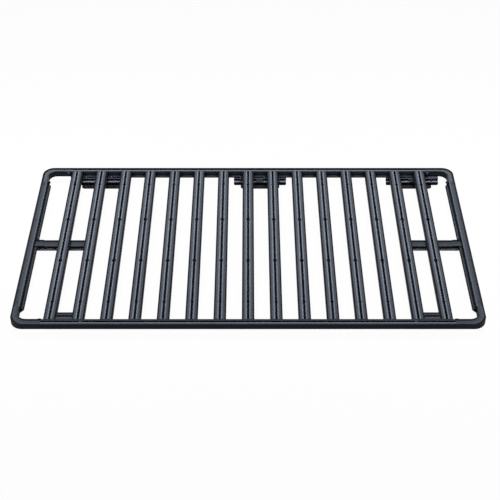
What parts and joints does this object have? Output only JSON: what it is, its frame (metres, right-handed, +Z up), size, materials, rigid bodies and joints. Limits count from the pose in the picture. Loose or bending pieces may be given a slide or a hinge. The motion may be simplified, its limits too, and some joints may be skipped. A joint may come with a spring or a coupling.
{
  "type": "platform roof rack",
  "caption": "Flat platform roof rack: low aluminium frame with rounded cast corners and T-slotted cross slats, on ribbed side brackets with slotted feet, for carrying tied-down loads.",
  "frame": {"origin": "on the ground plane under the middle of the platform, level with the undersides of the feet", "axes": "+X along the long side to the right in the picture, +Y across the platform away from the viewer, +Z up"},
  "size_m": [2.2, 1.25, 0.077],
  "materials": {
    "rail_coat": "satin textured powder coat on extruded aluminium",
    "corner_coat": "satin textured powder coat on cast aluminium",
    "slat_coat": "satin textured powder coat on extruded aluminium",
    "brace_coat": "satin textured powder coat on extruded aluminium",
    "tie_coat": "satin textured powder coat on extruded aluminium",
    "bracket_coat": "satin textured powder coat on cast aluminium",
    "foot_rubber": "matt black moulded rubber",
    "bolt_steel": "blackened steel bolts and screws, added with the looks",
    "plug_plastic": "dark grey moulded plugs, added with the looks"
  },
  "bodies": {
    "root": {"side_rail_far_left": "rail_coat", "side_rail_far_middle": "rail_coat", "side_rail_far_right": "rail_coat", "side_rail_near_left": "rail_coat", "side_rail_near_middle": "rail_coat", "side_rail_near_right": "rail_coat", "end_rail_right": "rail_coat", "end_rail_left": "rail_coat", "corner_far_right": "corner_coat", "corner_far_left": "corner_coat", "corner_near_right": "corner_coat", "corner_near_left": "corner_coat", "slat_01": "slat_coat", "slat_02": "slat_coat", "slat_03": "slat_coat", "slat_04": "slat_coat", "slat_05": "slat_coat", "slat_06": "slat_coat", "slat_07": "slat_coat", "slat_08": "slat_coat", "slat_09": "slat_coat", "slat_10": "slat_coat", "slat_11": "slat_coat", "slat_12": "slat_coat", "slat_13": "slat_coat", "slat_14": "slat_coat", "slat_15": "slat_coat", "brace_right": "brace_coat", "brace_left": "brace_coat", "slat_tie_near_right": "tie_coat", "slat_tie_near_left": "tie_coat", "bracket_far_left": "bracket_coat", "foot_far_left": "foot_rubber", "bracket_far_middle": "bracket_coat", "foot_far_middle": "foot_rubber", "bracket_far_right": "bracket_coat", "foot_far_right": "foot_rubber", "bracket_near_left": "bracket_coat", "foot_near_left": "foot_rubber", "bracket_near_middle": "bracket_coat", "foot_near_middle": "foot_rubber", "bracket_near_right": "bracket_coat", "foot_near_right": "foot_rubber"}
  },
  "joints": []
}
